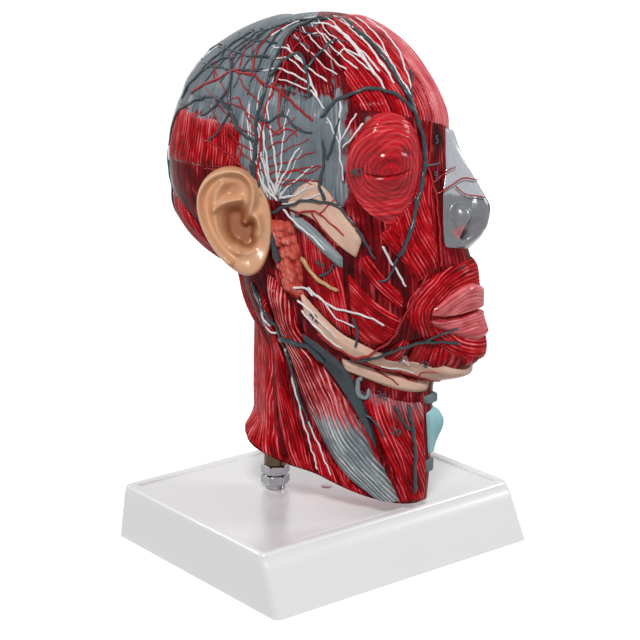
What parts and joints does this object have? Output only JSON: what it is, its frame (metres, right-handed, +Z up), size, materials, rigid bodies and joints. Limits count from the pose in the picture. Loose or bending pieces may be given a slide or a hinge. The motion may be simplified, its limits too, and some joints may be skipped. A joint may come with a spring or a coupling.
{
  "type": "anatomical head model",
  "caption": "Life-size anatomical half head with muscles, vessels and nerves in relief and a flat median section, turning on a stud above a sloped white display base.",
  "frame": {"origin": "middle of the underside of the display base", "axes": "+Z up, -Y towards the sloped front of the base, +X to the right when facing that front; the head's nose points towards -Y turned 22 degrees towards +X"},
  "size_m": [0.214, 0.2107, 0.3548],
  "materials": {
    "base_white": "glossy moulded plastic",
    "cover_white": "plain moulded plastic",
    "plug_white": "glossy moulded plastic",
    "stud_steel": "turned and threaded",
    "nut_steel": "bright plated",
    "bush_brass": "turned",
    "plate_red": "painted plastic",
    "ground_red": "hand-painted plastic, varnished",
    "section_flesh": "hand-painted plastic, varnished",
    "muscle_red": "hand-painted fibres, varnished",
    "deep_muscle_red": "hand-painted fibres, varnished",
    "brow_pink": "hand-painted fibres, varnished",
    "tendon_grey": "hand-painted, varnished",
    "bone_tan": "hand-painted, varnished",
    "gland_pink": "hand-painted, knobbly, varnished",
    "lip_pink": "hand-painted, varnished",
    "vein_slate": "hand-painted, varnished",
    "artery_red": "hand-painted, varnished",
    "nerve_white": "hand-painted, varnished",
    "duct_gold": "hand-painted, varnished",
    "nose_grey": "hand-painted, varnished",
    "cartilage_blue": "hand-painted, varnished",
    "skin_beige": "hand-painted, varnished",
    "brain_pink": "hand-painted, varnished",
    "white_matter": "hand-painted, varnished",
    "mucosa_pink": "hand-painted, varnished"
  },
  "bodies": {
    "base": {"base_tray": "base_white", "base_cover_plate": "cover_white", "hole_plug": "plug_white", "support_stud": "stud_steel", "stud_spacer": "nut_steel", "lower_nut": "nut_steel", "under_washer": "nut_steel", "under_nut": "nut_steel"},
    "lock_nut": {"lock_nut": "nut_steel"},
    "head": {"neck_bush": "bush_brass", "neck_plate": "plate_red", "half_head_shell": "ground_red", "median_panel": "section_flesh", "ear": "skin_beige", "facial_vein": "vein_slate", "jugular_vein": "vein_slate", "anterior_jugular_vein": "vein_slate", "temporal_vein": "vein_slate", "cranial_vein": "vein_slate", "temporal_artery": "artery_red", "facial_nerve": "nerve_white", "supraorbital_nerve": "nerve_white", "buccal_nerve": "nerve_white", "parotid_duct": "duct_gold", "nasal_cartilage": "nose_grey", "nasal_bone": "nose_grey", "thyroid_cartilage": "cartilage_blue", "upper_lip": "lip_pink", "lower_lip": "lip_pink", "orbicularis_oris": "muscle_red", "orbicularis_oculi": "muscle_red", "parotid_gland": "gland_pink", "zygomaticus_major": "muscle_red", "levator_labii": "muscle_red", "zygomatic_bone": "bone_tan", "masseter": "muscle_red", "buccinator": "muscle_red", "depressor_anguli_oris": "muscle_red", "depressor_labii": "muscle_red", "mandible": "bone_tan", "frontalis": "brow_pink", "temporalis": "deep_muscle_red", "temporal_fascia": "tendon_grey", "epicranial_aponeurosis": "tendon_grey", "occipitalis": "muscle_red", "sternocleidomastoid": "muscle_red", "trapezius": "muscle_red", "sternohyoid": "muscle_red", "digastric": "bone_tan", "corpus_callosum": "white_matter", "brainstem_and_cord": "white_matter", "cerebellum": "brain_pink", "cerebrum": "brain_pink", "nasal_wall": "mucosa_pink", "palate": "mucosa_pink", "tongue": "lip_pink", "vertebral_column": "bone_tan", "larynx_and_trachea": "cartilage_blue"}
  },
  "joints": [
    {"name": "head_swivel", "type": "hinge", "parent": "base", "child": "head", "pos_m": [-0.026, 0.018, 0.05], "axis": [0, 0, 1], "continuous": true},
    {"name": "lock_nut_turn", "type": "hinge", "parent": "base", "child": "lock_nut", "pos_m": [-0.026, 0.018, 0.0476], "axis": [0, 0, 1], "range_deg": [0, 120]}
  ]
}
